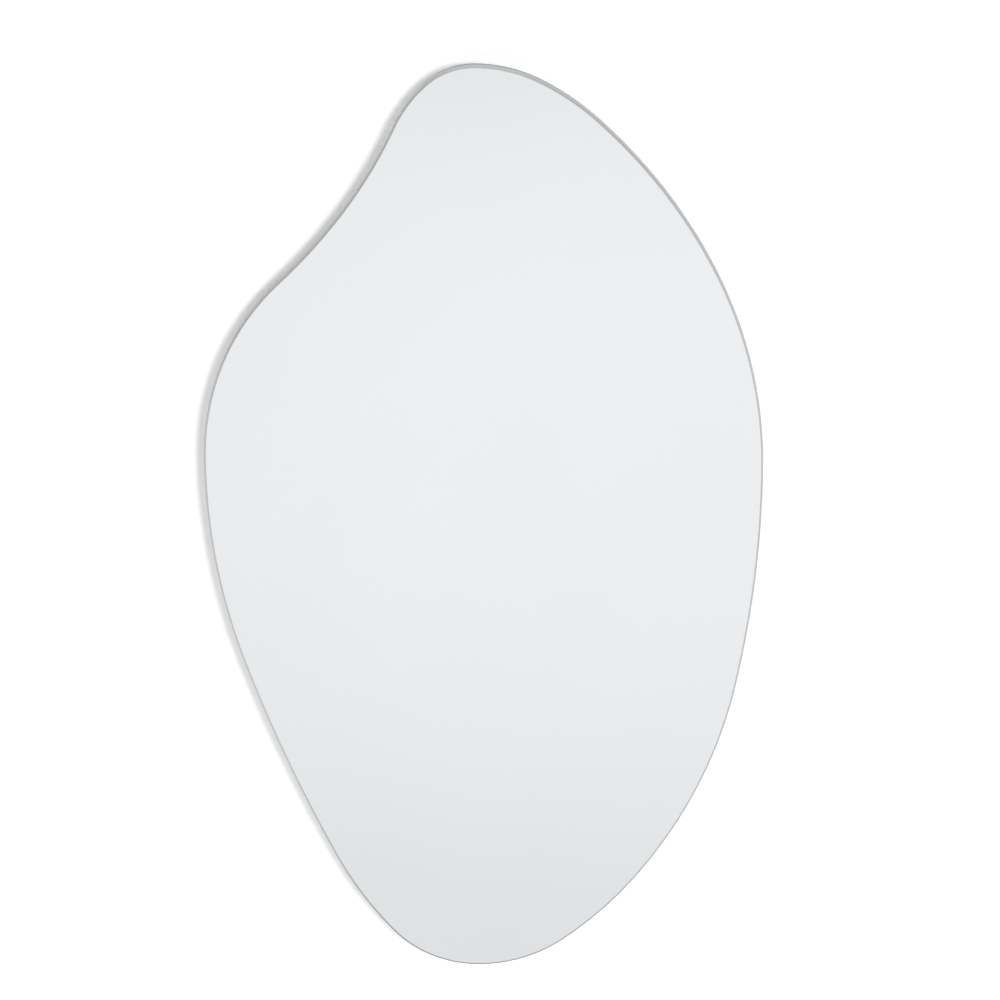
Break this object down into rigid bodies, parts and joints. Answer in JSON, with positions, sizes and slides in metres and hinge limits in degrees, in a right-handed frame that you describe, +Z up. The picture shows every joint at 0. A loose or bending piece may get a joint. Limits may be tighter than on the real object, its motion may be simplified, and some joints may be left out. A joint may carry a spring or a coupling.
{
  "type": "irregular shaped mirror",
  "caption": "Frameless wall mirror with an irregular rounded outline and polished glass edge, on an inset fibreboard back with let-in keyhole hanger plates and soft wall bumpers.",
  "frame": {"origin": "midway between the entry holes of the two keyhole hanger plates, in the plane of the backing board's back face", "axes": "+X to the viewer's right, +Y from the mirror into the wall (the mirror looks along -Y), +Z up"},
  "size_m": [0.345, 0.0229, 0.6],
  "materials": {
    "glass": "clear float glass, polished edge",
    "silver": "silvered",
    "paint": "matt grey backing paint",
    "film": "satin film",
    "adhesive": "cured mirror adhesive",
    "foam_tape": "closed-cell foam",
    "board": "medium density fibreboard, cut edges",
    "plate_steel": "zinc plated",
    "screw_steel": "bright zinc plated",
    "bumper": "soft matt rubber"
  },
  "bodies": {
    "root": {"mirror_glass": "glass", "silver_coat": "silver", "backing_paint": "paint", "safety_film": "film", "adhesive_bead_1": "adhesive", "adhesive_bead_2": "adhesive", "adhesive_bead_3": "adhesive", "adhesive_bead_4": "adhesive", "adhesive_bead_5": "adhesive", "foam_tape_1": "foam_tape", "foam_tape_2": "foam_tape", "foam_tape_3": "foam_tape", "foam_tape_4": "foam_tape", "backing_board": "board", "hanger_plate_left": "plate_steel", "hanger_plate_right": "plate_steel", "hanger_screws_left": "screw_steel", "hanger_screws_right": "screw_steel", "bumper_shoulder": "bumper", "bumper_heel": "bumper", "bumper_flank": "bumper", "bumper_left": "bumper"}
  },
  "joints": []
}
